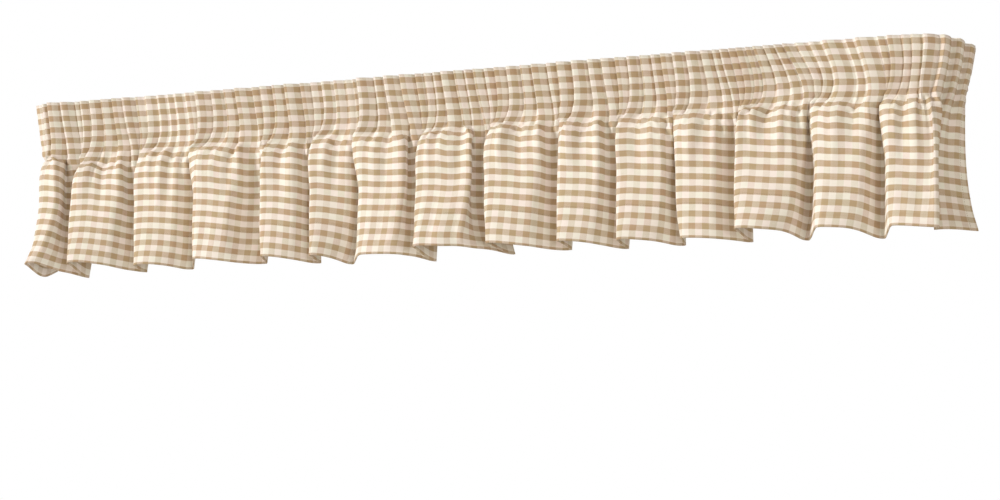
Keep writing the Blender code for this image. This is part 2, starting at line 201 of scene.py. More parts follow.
CREASES = (
    Crease(fold=0, share=0.30, runs=0.25, height=-3.0, width=6, reach=190),
    Crease(fold=0, share=0.62, runs=0.55, height=2.5, width=6, reach=165),
    Crease(fold=1, share=0.16, runs=0.10, height=3.5, width=6, reach=160),
    Crease(fold=1, share=0.36, runs=0.30, height=-4.0, width=7, reach=190),
    Crease(fold=1, share=0.60, runs=0.62, height=4.5, width=6, reach=230),
    Crease(fold=2, share=0.12, runs=0.14, height=2.5, width=5, reach=150),
    Crease(fold=2, share=0.40, runs=0.30, height=4.0, width=7, reach=205),
    Crease(fold=2, share=0.55, runs=0.52, height=-3.5, width=6, reach=175),
    Crease(fold=3, share=0.20, runs=0.12, height=3.0, width=6, reach=165),
    Crease(fold=3, share=0.42, runs=0.36, height=-4.0, width=6, reach=185),
    Crease(fold=3, share=0.58, runs=0.60, height=3.5, width=6, reach=215),
    Crease(fold=4, share=0.24, runs=0.20, height=-3.0, width=6, reach=170),
    Crease(fold=4, share=0.46, runs=0.42, height=3.5, width=6, reach=200),
    Crease(fold=5, share=0.18, runs=0.14, height=3.0, width=5, reach=160),
    Crease(fold=5, share=0.42, runs=0.38, height=-3.5, width=6, reach=180),
    Crease(fold=6, share=0.30, runs=0.24, height=-4.0, width=7, reach=180),
    Crease(fold=6, share=0.52, runs=0.50, height=3.5, width=6, reach=210),
    Crease(fold=7, share=0.20, runs=0.15, height=3.5, width=6, reach=175),
    Crease(fold=7, share=0.40, runs=0.34, height=-4.5, width=8, reach=200),
    Crease(fold=7, share=0.62, runs=0.60, height=4.0, width=6, reach=185),
    Crease(fold=8, share=0.14, runs=0.10, height=3.0, width=6, reach=150),
    Crease(fold=8, share=0.34, runs=0.30, height=-3.5, width=7, reach=180),
    Crease(fold=8, share=0.58, runs=0.60, height=4.0, width=7, reach=220),
    Crease(fold=9, share=0.26, runs=0.22, height=-3.5, width=6, reach=175),
    Crease(fold=9, share=0.50, runs=0.48, height=4.0, width=6, reach=195),
    Crease(fold=10, share=0.22, runs=0.20, height=-3.5, width=6, reach=185),
    Crease(fold=10, share=0.46, runs=0.42, height=3.5, width=6, reach=170),
    Crease(fold=11, share=0.20, runs=0.08, height=4.0, width=6, reach=190),
    Crease(fold=11, share=0.42, runs=0.36, height=-3.0, width=6, reach=165),
    Crease(fold=12, share=0.12, runs=0.10, height=3.0, width=5, reach=135),
    Crease(fold=12, share=0.30, runs=0.26, height=-4.5, width=7, reach=165),
    Crease(fold=12, share=0.52, runs=0.46, height=4.5, width=6, reach=180),
    Crease(fold=12, share=0.68, runs=0.70, height=-3.0, width=6, reach=200),
    Crease(fold=13, share=0.22, runs=0.10, height=4.0, width=6, reach=215),
    Crease(fold=13, share=0.45, runs=0.42, height=-3.5, width=6, reach=170),
    Crease(fold=14, share=0.14, runs=0.12, height=-4.0, width=6, reach=190),
    Crease(fold=14, share=0.42, runs=0.46, height=4.5, width=8, reach=215),
    Crease(fold=14, share=0.74, runs=0.76, height=-4.5, width=7, reach=200),
)


def turn(angle: np.ndarray | float) -> np.ndarray | complex:
    """The direction with this angle in degrees, as a complex number."""
    return np.exp(1j * np.radians(angle))


def eased(share: np.ndarray | float) -> np.ndarray | float:
    """A share from 0 to 1, with a soft start and end."""
    share = np.clip(share, 0, 1)
    return share * share * (3 - 2 * share)


def blended(wanted: np.ndarray, places: np.ndarray, points: np.ndarray) -> np.ndarray:
    """Points in plan between given ones.

    Args:
        wanted: Distances along the cloth.
        places: Distances along the cloth at which points are given.
        points: Those points, as complex numbers.

    Returns:
        The points at the wanted distances.
    """
    return np.interp(wanted, places, points.real) + 1j * np.interp(wanted, places, points.imag)


def in_order(values: np.ndarray) -> np.ndarray:
    """Values in rising order, half way between the highest so far and the lowest still to come.

    Args:
        values: Any run of values.

    Returns:
        The same number of values, none lower than the one before it.
    """
    return (np.maximum.accumulate(values) + np.minimum.accumulate(values[::-1])[::-1]) / 2


def level_value(name: str, drop: float) -> float:
    """A column of LEVELS at any depth, eased from row to row.

    Args:
        name: The column's name.
        drop: Depth below the top edge, in metres.

    Returns:
        The column's value there, in its own units.
    """
    drops = np.array([level.drop for level in LEVELS]) * MM
    values = np.array([getattr(level, name) for level in LEVELS], float)
    slopes = np.gradient(values, drops)
    row = int(np.clip(np.searchsorted(drops, drop, side="right") - 1, 0, len(drops) - 2))
    span = drops[row + 1] - drops[row]
    t = (drop - drops[row]) / span
    middle = values[row] + eased(t) * (values[row + 1] - values[row])
    return middle + (t * (1 - t) ** 2 * slopes[row] - t * t * (1 - t) * slopes[row + 1]) * span


@dataclass(frozen=True)
class Pleating:
    """How the cloth turns in a pencil pleat: its flank comes forward, and its face falls back."""

    flank_share: float = 0.36  # share of a pleat's cloth that comes forward
    flank_angle: float = -84.0
    face_angles: tuple[float, float] = (10.0, 56.0)
    turn_share: float = 0.04  # share of a pleat's cloth in each turn
    most_strength: float = 1.6
    samples: int = 64

    def profile(self, share: np.ndarray) -> np.ndarray:
        """Direction of the cloth, in degrees, at shares of a pleat that is fully drawn."""
        rise = eased((share - self.flank_share) / self.turn_share + 0.5)
        fall = eased((share - 1) / self.turn_share + 1)
        across = np.clip((share - self.flank_share) / (1 - self.flank_share), 0, 1)
        face = self.face_angles[0] + across * (self.face_angles[1] - self.face_angles[0])
        return self.flank_angle + (face - self.flank_angle) * (rise - fall)

    def strength(self, drawn: np.ndarray) -> np.ndarray:
        """How strongly pleats must turn to draw cloth up.

        Args:
            drawn: Shares of its length that the cloth is drawn up to.

        Returns:
            Strengths from 0, flat, past 1, fully drawn.
        """
        shares = (np.arange(self.samples) + 0.5) / self.samples
        strengths = np.linspace(0, self.most_strength, self.samples + 1)
        angles = np.radians(self.profile(shares)[None, :] * strengths[:, None])
        return np.interp(-np.minimum(drawn, 1), -np.cos(angles).mean(axis=1), strengths)


@dataclass
class HungCloth:
    """The middle surface of the cloth as it hangs, worked out from the tables above."""

    drop: float = 0.255
    heading: float = 0.080
    corners: tuple[float, float] = (-0.696, 0.704)
    return_depth: float = 0.058
    return_angle: float = 62.0
    corner_softness: float = 0.012
    end_droops: tuple[float, float] = (0.004, 0.016)
    droop_start: float = 0.080  # how far before the right return its edge starts to droop
    box_face_angle: float = 6.0
    box_floor_angle: float = 14.0
    box_depth: float = 0.80
    least_floor: float = 0.15  # least share of the cloth past a front that lies in the floor
    fold_softness: float = 0.0026
    most_lean: float = 0.90
    lift_softness: float = 0.014
    wave_softness: float = 0.005
    sag_width: float = 0.030
    sag_shift: float = 0.006
    sag_start: float = 0.150  # depth below which the valleys sag
    box_drop: float = 0.155  # depth half way down the skirt, where its folds are boxy
    pleat_leans: tuple[float, float] = (0.38, 0.58)  # how far left of a fold's two edges its
    # pleats crowd, as shares of its depth
    pinch_softness: float = 0.006  # how gently pleats crowd together at a fold's edges
    step: float = 0.0008  # step along the cloth while its line is worked out
    surface_rows: int = 126
    pleating: Pleating = field(default_factory=Pleating)
    edges: np.ndarray = field(init=False)
    pleat_lines: np.ndarray = field(init=False)

    def __post_init__(self) -> None:
        """Lays the cloth out flat."""
        left = sum(stretch.length for stretch in LEFT_END) * MM
        right = sum(stretch.length for stretch in RIGHT_END) * MM
        folds = [self.flank_length(fold) + self.face_length(i) for i, fold in enumerate(FOLDS)]
        self.edges = np.concatenate([[0.0], np.cumsum([left, *folds, right])])
        lines = [0.0]
        for start, end, pleats in zip(self.edges[:-1], self.edges[1:], PLEATS):
            lines += list(start + np.cumsum(pleats) / sum(pleats) * (end - start))
        self.pleat_lines = np.array(lines)

    @property
    def flat_width(self) -> float:
        """Width of the cloth when flat."""
        return float(self.edges[-1])

    def flank_length(self, fold: Fold, share: float = 1.0) -> float:
        """Cloth in a share of a fold's left flank."""
        return share * fold.flank * MM

    def flank_run(self, fold: Fold, hem: float, share: float) -> complex:
        """A fold's left flank in plan, from the valley to the fold's left edge."""
        angle = fold.mid_turn + hem * (fold.hem_turn - fold.mid_turn)
        return self.flank_length(fold, share) * turn(-angle)

    def edge_point(self, fold: Fold, hem: float, share: float, valley: float) -> complex:
        """Plan point of a fold's left edge.

        Args:
            fold: The fold.
            hem: How far it has its shape at the hem, from 0 to 1.
            share: How much of its flank has come forward.
            valley: How far back the valleys lie, in metres.

        Returns:
            The point as a complex number.
        """
        along = (fold.mid + hem * (fold.hem - fold.mid)) * MM
        return along + 1j * (valley + self.flank_run(fold, hem, share).imag)

    def valley_point(self, fold: Fold, hem: float, share: float, valley: float) -> complex:
        """Plan point of the valley that a fold's left flank starts from, as edge_point takes it."""
        return self.edge_point(fold, hem, share, valley) - self.flank_run(fold, hem, share)

    def face_chord(self, index: int) -> complex:
        """The straight line across a fold's front at the hem."""
        start = self.edge_point(FOLDS[index], 1, 1, 0)
        if index + 1 < len(FOLDS):
            return self.valley_point(FOLDS[index + 1], 1, 1, 0) - start
        return self.edge_point(RIGHT_EDGE, 1, 1, 0) - start

    def face_length(self, index: int) -> float:
        """Cloth in a fold's front at the hem, longer than its chord by its arch."""
        half = np.radians(FOLDS[index].arch)
        return abs(self.face_chord(index)) * half / np.sin(half)

    def softened(self, values: np.ndarray, softness: float) -> np.ndarray:
        """Values along the cloth, averaged over a softness in metres, so that it turns in curves."""
        reach = int(np.ceil(3 * softness / self.step))
        weights = np.exp(-0.5 * (np.arange(-reach, reach + 1) * self.step / softness) ** 2)
        padded = np.pad(values, reach, mode="edge")
        return np.convolve(padded, weights / weights.sum(), mode="valid")

    def pleat_angles(self, along: np.ndarray) -> np.ndarray:
        """Direction of the cloth in fully drawn pleats, in degrees, at distances along it."""
        lines = self.pleat_lines
        index = np.clip(np.searchsorted(lines, along, side="right") - 1, 0, len(lines) - 2)
        return self.pleating.profile((along - lines[index]) / (lines[index + 1] - lines[index]))

    def box_step(self, index: int) -> tuple[float, float]:
        """The step at the right of a fold's front half way down, in plan.

        Its length and direction leave just enough cloth for a floor that ends at the next valley.

        Args:
            index: The fold's place in FOLDS.

        Returns:
            The cloth in the step, and its direction in degrees.
        """
        fold, box = FOLDS[index], self.box_depth
        start = self.edge_point(fold, 0, box, 0) + fold.face * MM * turn(self.box_face_angle)
        if index + 1 < len(FOLDS):
            gap = self.valley_point(FOLDS[index + 1], 0, box, 0) - start
        else:
            gap = self.edge_point(RIGHT_EDGE, 0, box, 0) - start
        cloth = self.flank_length(fold, 1 - box) + self.face_length(index) - fold.face * MM
        direction = turn(self.box_floor_angle)
        reach = (gap * direction.conjugate()).real
        floor = (cloth**2 - abs(gap) ** 2) / (2 * (cloth - reach)) if cloth > reach else 0
        floor = np.clip(floor, self.least_floor * cloth, (1 - self.least_floor) * cloth)
        return cloth - floor, np.degrees(np.angle(gap - floor * direction))

    def fold_angles(self, here: np.ndarray, index: int, hem: float) -> np.ndarray:
        """Direction of the cloth in a fold, in degrees.

        Half way down the fold is boxy: a left flank, a front, a step, and a floor that falls back
        to the next valley. At the hem its front swings back in one curve.

        Args:
            here: Distances along the cloth from the valley before the fold.
            index: The fold's place in FOLDS.
            hem: How far it has its shape at the hem, from 0 to 1.

        Returns:
            A direction for each distance.
        """
        fold = FOLDS[index]
        flank, front = self.flank_length(fold), self.face_length(index)
        chord_angle = np.degrees(np.angle(self.face_chord(index)))
        share = np.clip((here - flank) / front, 0, 1)
        swung = np.where(here < flank, -fold.hem_turn, chord_angle + fold.arch * (2 * share - 1))
        face_start = flank * self.box_depth
        face_end = face_start + fold.face * MM
        step, step_angle = self.box_step(index)
        boxy = np.select(
            [here < face_start, here < face_end, here < face_end + step],
            [-fold.mid_turn, self.box_face_angle, step_angle],
            self.box_floor_angle,
        )
        return (1 - hem) * boxy + hem * swung

    def closed_run(self, angles: np.ndarray, chord: complex) -> np.ndarray:
        """Directions opened or closed until the cloth along them spans a chord.

        Args:
            angles: Directions of the steps, in degrees.
            chord: Where the last step ends, seen from where the first begins.

        Returns:
            The steps, as complex numbers of about unit length.
        """
        low, high = 0.0, 1.6
        for _ in range(24):
            gain = (low + high) / 2
            reach = abs(np.sum(turn(angles * gain))) * self.step
            low, high = (gain, high) if reach > abs(chord) else (low, gain)
        steps = turn(angles * gain)
        return steps * (chord / np.sum(steps)) / self.step

    def end_angles(self, fine: np.ndarray, angles: np.ndarray, hem: float) -> None:
        """Writes the directions of both ends of the skirt into an array of directions."""
        for stretches, start in ((LEFT_END, 0.0), (RIGHT_END, self.edges[-2])):
            for stretch in stretches:
                end = start + stretch.length * MM
                inside = (fine >= start) & (fine < end)
                angles[inside] = stretch.mid + hem * (stretch.hem - stretch.mid)
                start = end

    def skirt_line(self, fine: np.ndarray, drop: float) -> np.ndarray:
        """The skirt's line in plan with its folds fully out, at the fine steps along the cloth."""
        hem = level_value("hem", drop)
        valley = level_value("valley", drop) * MM
        share = self.box_depth + hem * (1 - self.box_depth)
        edges = self.edges
        angles = np.zeros_like(fine)
        runs = [(fine >= start) & (fine < end) for start, end in zip(edges[1:-2], edges[2:-1])]
        for index, inside in enumerate(runs):
            angles[inside] = self.fold_angles(fine[inside] - edges[index + 1], index, hem)
        self.end_angles(fine, angles, hem)
        angles = self.softened(angles, self.fold_softness)
        steps = turn(angles)
        outer = [self.edge_point(fold, hem, share, valley) for fold in FOLDS]
        valleys = [self.valley_point(fold, hem, share, valley) for fold in FOLDS]
        valleys.append(self.edge_point(RIGHT_EDGE, hem, share, valley))
        for index, inside in enumerate(runs):
            steps[inside] = self.closed_run(angles[inside], valleys[index + 1] - valleys[index])
        line = np.cumsum(steps) * self.step
        places = [start + self.flank_length(fold, share) for start, fold in zip(edges[1:-2], FOLDS)]
        places = np.sort(np.concatenate([places, edges[1:-1]]))
        targets = np.append(np.stack([valleys[:-1], outer], axis=1).ravel(), valleys[-1])
        drift = blended(places, fine, line) - targets
        return line - blended(fine, places, drift)

    def heading_line(self, fine: np.ndarray, drop: float) -> np.ndarray:
        """The heading's line in plan with its pleats left out: a straight run with two returns."""
        edges = self.edges
        pinch = level_value("pinch", drop)
        left = self.corners[0] + level_value("left", drop) * MM
        right = self.corners[1] - level_value("right", drop) * MM
        rise = max(1 - drop / self.heading, 0)
        folds = [
            np.clip((fold.mid - fold.slant * rise) * MM, left, right) for fold in (*FOLDS, RIGHT_EDGE)
        ]
        places = np.array([left - self.return_depth, *folds, right + self.return_depth])
        even = np.interp(fine, edges, places)
        inside = (fine > edges[1]) & (fine < edges[-2])
        skirt = self.skirt_line(fine, self.box_drop)
        across = np.interp(fine, edges[1:-1], np.arange(len(FOLDS) + 1)) % 1
        lean = self.pleat_leans[0] + across * (self.pleat_leans[1] - self.pleat_leans[0])
        feet = in_order((skirt.real + lean * skirt.imag)[inside])
        feet = np.clip(self.softened(feet, self.pinch_softness), left, right)
        below = np.interp(fine, fine[inside], feet)
        along = np.where(inside, even + pinch * (below - even), even)
        angle = np.select([along < left, along > right], [-self.return_angle, self.return_angle], 0.0)
        steps = turn(self.softened(angle, self.corner_softness)) * np.gradient(along)
        line = np.cumsum(steps)
        return line - line[int(np.argmin(abs(along)))]

    def line_at(self, drop: float, along: np.ndarray) -> np.ndarray:
        """The cloth's line in plan at one depth.

        Args:
            drop: Depth below the top edge.
            along: Distances along the flat cloth.

        Returns:
            The points at those distances, as complex numbers.
        """
        edges = self.edges
        fine = np.arange(0, edges[-1] + self.step, self.step)
        centres = (edges[1:-2] + edges[2:-1]) / 2
        late = [
            level_value("skirt", max(drop - (fold.top * MM - self.heading), 0)) for fold in FOLDS
        ]
        weight = self.softened(np.interp(fine, centres, late), 0.02)
        base = (1 - weight) * self.heading_line(fine, drop) + weight * self.skirt_line(fine, drop)
        base += 1j * level_value("back", drop) * MM
        step = np.gradient(base, self.step)
        drawn = self.softened(abs(step), 0.004)
        strength = self.softened(self.pleating.strength(drawn), 0.004)
        pleated = turn(np.degrees(np.angle(step)) + strength * self.pleat_angles(fine))
        shift = np.cumsum(pleated - step) * self.step
        held = blended(self.pleat_lines, fine, shift)
        drift = blended(fine, self.pleat_lines, held)
        return blended(along, fine, base + shift - drift)

    def settled(self, heights: np.ndarray, along: np.ndarray, drop: float) -> np.ndarray:
        """Heights of a row with the lift of its folds spread along the cloth.

        Args:
            heights: Heights at which each column would hang by itself.
            along: Distances along the flat cloth.
            drop: Depth of the row.

        Returns:
            The heights, with some waves left over each pleat, and the droop of both ends.
        """
        fine = np.arange(0, along[-1] + self.step, self.step)
        alone = np.interp(fine, along, heights)
        smooth = self.softened(alone, self.lift_softness)
        waves = self.softened(alone, self.wave_softness) - smooth
        spread = np.interp(along, fine, smooth + level_value("waves", drop) * waves)
        left = np.clip(1 - along / self.edges[1], 0, 1)
        droop_start = self.edges[-2] - self.droop_start
        right = np.clip((along - droop_start) / (self.edges[-1] - droop_start), 0, 1)
        droop = self.end_droops[0] * left**2 + self.end_droops[1] * right**2
        sunk = max(drop - self.sag_start, 0) / (self.drop - self.sag_start)
        near = np.exp(-(((along[:, None] - self.edges[1:] - self.sag_shift) / self.sag_width) ** 2))
        sag = near @ np.array([fold.sag for fold in (*FOLDS, RIGHT_EDGE, RIGHT_EDGE)]) * MM
        return spread - droop * max(1 - drop / self.heading, 0) - sag * sunk

    def surface(self, along: np.ndarray, drops: np.ndarray) -> np.ndarray:
        """Points of the cloth as it hangs. Each column keeps its length, so a fold lifts its hem.

        Args:
            along: Distances along the flat cloth, one for each column.
            drops: Depths below the top edge, one for each row.

        Returns:
            An array of rows, columns and x, y, z.
        """
        steps = np.union1d(np.linspace(0, self.drop, self.surface_rows), drops)
        lines = np.array([self.line_at(drop, along) for drop in steps])
        fall = np.diff(steps)[:, None]
        swing = np.minimum(np.abs(np.diff(lines, axis=0)), self.most_lean * fall)
        heights = -np.cumsum(np.sqrt(fall**2 - swing**2), axis=0)
        heights = np.concatenate([np.zeros((1, len(along))), heights])
        heights = np.array([self.settled(row, along, drop) for row, drop in zip(heights, steps)])
        points = np.stack([lines.real, lines.imag, heights], axis=2)
        return points[np.searchsorted(steps, drops)]

    def crease_heights(self, along: np.ndarray, drops: np.ndarray) -> np.ndarray:
        """How far the creases in CREASES stand out of the surface, for rows and columns."""
        raised = np.zeros((len(drops), len(along)))
        for crease in CREASES:
            start = self.edges[crease.fold + 1] + self.flank_length(FOLDS[crease.fold])
            width = self.edges[crease.fold + 2] - start
            down = np.clip((drops - self.heading) / (crease.reach * MM - self.heading), 0, 1)
            place = start + width * (crease.share + down * (crease.runs - crease.share))
            across = (along[None, :] - place[:, None]) / (crease.width * MM)
            fade = eased((drops - self.heading + 0.014) / 0.028) * eased(1.6 * (1 - down))
            raised += crease.height * MM * np.exp(-(across**2)) * fade[:, None]
        return raised


def unit_normals(points: np.ndarray) -> np.ndarray:
    """Directions out of the front of a grid of rows and columns, one for each point."""
    down, along = np.gradient(points, axis=0), np.gradient(points, axis=1)
    normals = np.cross(down, along)
    return normals / np.linalg.norm(normals, axis=2, keepdims=True)


# Shader and geometry nodes


class Graph:
    """A node tree under construction."""

    def __init__(self, tree: bpy.types.NodeTree) -> None:
        """Starts on a tree."""
        self.tree = tree

    def node(
        self,
        kind: str,
        settings: dict[str, object] | None = None,
        inputs: dict[int | str, object] | None = None,
    ) -> bpy.types.Node:
        """Adds a node.

        Args:
            kind: Blender's name for the node's type.
            settings: Properties of the node, set before its sockets.
            inputs: A value, a socket or a Value for each socket, by its number or name.

        Returns:
            The node.
        """
        node = self.tree.nodes.new(kind)
        for name, value in (settings or {}).items():
            setattr(node, name, value)
        for name, value in (inputs or {}).items():
            if isinstance(value, Value):
                value = value.socket
            if isinstance(value, bpy.types.NodeSocket):
                self.tree.links.new(value, node.inputs[name])
            else:
                node.inputs[name].default_value = value
        return node

    def value(self, kind: str, output: int | str = 0, **parts: dict) -> Value:
        """Adds a node, as node() does, and wraps one of its outputs for arithmetic."""
        return Value(self, self.node(kind, **parts).outputs[output])

    def mixed(
        self,
        factor: Value | float,
        first: bpy.types.NodeSocket | tuple,
        second: bpy.types.NodeSocket | tuple,
        blend: str = "MIX",
    ) -> bpy.types.NodeSocket:
        """Mixes two colours.

        Args:
            factor: How much of the second colour there is.
            first: A colour or a socket that gives one.
            second: Another.
            blend: Blender's name for how they mix.

        Returns:
            The socket of the mixed colour.
        """
        settings = {"data_type": "RGBA", "blend_type": blend, "clamp_factor": True}
        inputs = {0: factor, 6: first, 7: second}
        return self.node("ShaderNodeMix", settings, inputs).outputs[2]


class Value:
    """A number that changes over a surface. Python's operators on it add Math nodes."""

    def __init__(self, graph: Graph, socket: bpy.types.NodeSocket) -> None:
        """Wraps a socket of a graph."""
        self.graph = graph
        self.socket = socket

    def math(self, operation: str, *values: Value | float) -> Value:
        """The result of a Math node on this and other values, in order."""
        inputs = dict(enumerate((self, *values)))
        return self.graph.value("ShaderNodeMath", settings={"operation": operation}, inputs=inputs)

    def after(self, operation: str, first: float) -> Value:
        """The result of a Math node on a plain number and this value, in that order."""
        settings = {"operation": operation}
        return self.graph.value("ShaderNodeMath", settings=settings, inputs={0: first, 1: self})

    def __add__(self, other: Value | float) -> Value:
        """This plus another."""
        return self.math("ADD", other)

    def __radd__(self, other: float) -> Value:
        """A number plus this."""
        return self.after("ADD", other)

    def __sub__(self, other: Value | float) -> Value:
        """This minus another."""
        return self.math("SUBTRACT", other)

    def __rsub__(self, other: float) -> Value:
        """A number minus this."""
        return self.after("SUBTRACT", other)

    def __mul__(self, other: Value | float) -> Value:
        """This times another."""
        return self.math("MULTIPLY", other)

    def __rmul__(self, other: float) -> Value:
        """A number times this."""
        return self.after("MULTIPLY", other)

    def __truediv__(self, other: Value | float) -> Value:
        """This divided by another."""
        return self.math("DIVIDE", other)

    def __neg__(self) -> Value:
        """Minus this."""
        return self.math("MULTIPLY", -1.0)

    def stepped(self, low: float, high: float) -> Value:
        """0 below low, 1 above high, and a soft step between."""
        settings = {"interpolation_type": "SMOOTHSTEP"}
        inputs = {"Value": self, "From Min": low, "From Max": high}
        return self.graph.value("ShaderNodeMapRange", settings=settings, inputs=inputs)


class Layer(Enum):
    """The maps that lie on the cloth."""

    FLAT = "flat_cloth"  # metres across and down the flat cloth
    BAKE = "OFBake"  # the same cloth in strips that fill a square, for the export


@dataclass(frozen=True)
class Gingham:
    """Plain-woven cotton in two colours of yarn. The colours are linear, and sizes are in metres.

    The weft covers more than the warp, so the check's rows are stronger than its columns. Where one
    layer of cloth hangs alone, the rows are made stronger still: painted light that shines through it.
    """

    column_repeat: float = 0.0182
    row_repeat: float = 0.0165
    first_row: float = 0.25  # share of a repeat above the first coloured row
    cream: tuple[float, float, float, float] = (0.91, 0.87, 0.86, 1.0)
    tan: tuple[float, float, float, float] = (0.50, 0.37, 0.245, 1.0)
    rose: tuple[float, float, float, float] = (1.0, 0.93, 0.90, 1.0)
    sage: tuple[float, float, float, float] = (0.95, 0.98, 0.88, 1.0)
    edge_wander: float = 0.05  # of a stripe, as a share of its repeat
    edge_softness: float = 0.022  # of a stripe, as a share of its repeat
    single_layer_weft_and_painted_light: float = 0.80  # share of the surface that shows weft in single cloth, raised by painted light shining through one layer
    # less weft in doubled cloth, where less painted light shines through
    doubled_layer_weft_less_painted_light: float = 0.68
    crossing_share: float = 0.16  # how much more of the weft shows where it lies over
    thread: float = 0.00072  # from one thread to the next
    thread_relief: float = 0.00007
    slub_relief: float = 0.00012
    slub_tones: tuple[float, float] = (0.30, 0.20)  # how much slubs in weft and warp change the tone
    furrow_width: float = 0.0011
    furrow_depth: float = 0.0004
    crumple_relief: float = 0.0009
    roughness: float = 0.88
    hem_depth: float = 0.046
    heading: float = 0.080
    side_hem: float = 0.011
    sheen: float = 0.12

    def stripe(self, place: Value, wander: Value) -> Value:
        """1 on the coloured half of each repeat and 0 on the other, with slightly wandering edges."""
        there = (place + wander).math("FRACT")
        soft = self.edge_softness
        return there.stepped(0.5 + soft, 0.5 - soft) * there.stepped(0, soft)

    def doubled(self, across: Value, drop: Value, hung: HungCloth) -> Value:
        """1 where the cloth is double: in its hems and in the taped heading."""
        hem = drop.stepped(hung.drop - self.hem_depth - 0.001, hung.drop - self.hem_depth)
        heading = drop.stepped(self.heading + 0.02, self.heading - 0.01)
        left = across.stepped(self.side_hem + 0.0005, self.side_hem)
        right = across.stepped(hung.flat_width - self.side_hem - 0.0005, hung.flat_width - self.side_hem)
        return hem.math("MAXIMUM", heading).math("MAXIMUM", left).math("MAXIMUM", right)

    def material(self, hung: HungCloth) -> bpy.types.Material:
        """The cloth's material.

        Args:
            hung: The cloth that it covers, for its sizes when flat.

        Returns:
            The material, which reads the cloth's own flat map.
        """
        made = bpy.data.materials.new("check_cotton_woven")
        made.use_nodes = True
        graph = Graph(made.node_tree)
        shader = made.node_tree.nodes["Principled BSDF"]
        place = graph.node("ShaderNodeUVMap", {"uv_map": Layer.FLAT.value}).outputs[0]
        flat = graph.node("ShaderNodeSeparateXYZ", inputs={0: place})
        across, height = Value(graph, flat.outputs[0]), Value(graph, flat.outputs[1])
        drop = -height

        drift = self.noise(graph, place, scale=90.0, detail=2.0) - 0.5
        columns = self.stripe(across / self.column_repeat, drift * self.edge_wander)
        rows = self.stripe(drop / self.row_repeat - self.first_row, drift * self.edge_wander)

        threads_across = across / self.thread
        threads_down = drop / self.thread
        hills_across = (threads_across * 2 * np.pi).math("SINE")
        hills_down = (threads_down * 2 * np.pi).math("SINE")
        over = hills_across * hills_down
        doubled = self.doubled(across, drop, hung)
        # single cloth shows more weft than doubled cloth: painted light shining through one layer
        weft_and_painted_light = self.single_layer_weft_and_painted_light + doubled * (self.doubled_layer_weft_less_painted_light - self.single_layer_weft_and_painted_light)
        weft_share = (weft_and_painted_light + over * self.crossing_share).math("MINIMUM", 1.0)
        tone = rows * weft_share + columns * (1 - weft_share)

        slubs = self.stretched_noise(graph, place, along=14.0, across=900.0)
        warp_slubs = self.stretched_noise(graph, place, along=900.0, across=14.0)
        uneven = (slubs - 0.5) * self.slub_tones[0] + (warp_slubs - 0.5) * self.slub_tones[1]
        tone = (tone + uneven * (0.25 + tone * 0.6)).math("MAXIMUM", 0.0)
        colour = graph.mixed(tone, self.cream, self.tan)
        colour = self.tinted(graph, across, drop, colour)
        graph.tree.links.new(colour, shader.inputs["Base Color"])

        relief = over * self.thread_relief + (slubs + warp_slubs) * self.slub_relief
        crumple = self.noise(graph, place, scale=55.0, detail=3.0) * self.crumple_relief
        relief = relief + crumple + self.seam_relief(across, drop, hung)
        bump = graph.node("ShaderNodeBump", inputs={"Height": relief, "Strength": 1.0, "Distance": 1.0})
        graph.tree.links.new(bump.outputs[0], shader.inputs["Normal"])
        rough = self.roughness + (slubs - 0.5) * 0.10
        graph.tree.links.new(rough.socket, shader.inputs["Roughness"])
        shader.inputs["Sheen Weight"].default_value = self.sheen
        shader.inputs["Specular IOR Level"].default_value = 0.25
        return made

    def noise(
        self, graph: Graph, place: bpy.types.NodeSocket, scale: float, detail: float
    ) -> Value:
        """Even noise over the flat cloth."""
        inputs = {"Vector": place, "Scale": scale, "Detail": detail}
        return graph.value("ShaderNodeTexNoise", inputs=inputs)

    def stretched_noise(
        self, graph: Graph, place: bpy.types.NodeSocket, along: float, across: float
    ) -> Value:
        """Noise drawn out like thick and thin yarn, with its scale along the rows and down them."""
        mapping = graph.node("ShaderNodeMapping", inputs={"Vector": place, "Scale": (along, across, 1.0)})
        inputs = {"Vector": mapping.outputs[0], "Scale": 1.0, "Detail": 2.0}
        return graph.value("ShaderNodeTexNoise", inputs=inputs)

    def tinted(
        self, graph: Graph, across: Value, drop: Value, colour: bpy.types.NodeSocket
    ) -> bpy.types.NodeSocket:
        """The check with a slightly rosier or greener dye from cell to cell."""
        column = (across / (self.column_repeat / 2)).math("FLOOR")
        row = (drop / (self.row_repeat / 2) + 0.5).math("FLOOR")
        cell = graph.node("ShaderNodeCombineXYZ", inputs={0: column, 1: row})
        settings = {"noise_dimensions": "2D"}
        dye = graph.value("ShaderNodeTexWhiteNoise", settings=settings, inputs={"Vector": cell.outputs[0]})
        cast = graph.mixed(dye, self.rose, self.sage)
        return graph.mixed(0.8, colour, cast, blend="MULTIPLY")

    def seam_relief(self, across: Value, drop: Value, hung: HungCloth) -> Value:
        """Height of the cloth over its hems, with a furrow along each row of stitches."""
        lines = (
            drop - (hung.drop - self.hem_depth),
            across - self.side_hem,
            across - (hung.flat_width - self.side_hem),
        )
        total = None
        for line in lines:
            furrow = (line / self.furrow_width).math("POWER", 2.0).math("MULTIPLY", -1.0).math("EXPONENT")
            part = furrow * -self.furrow_depth
            total = part if total is None else total + part
        return total


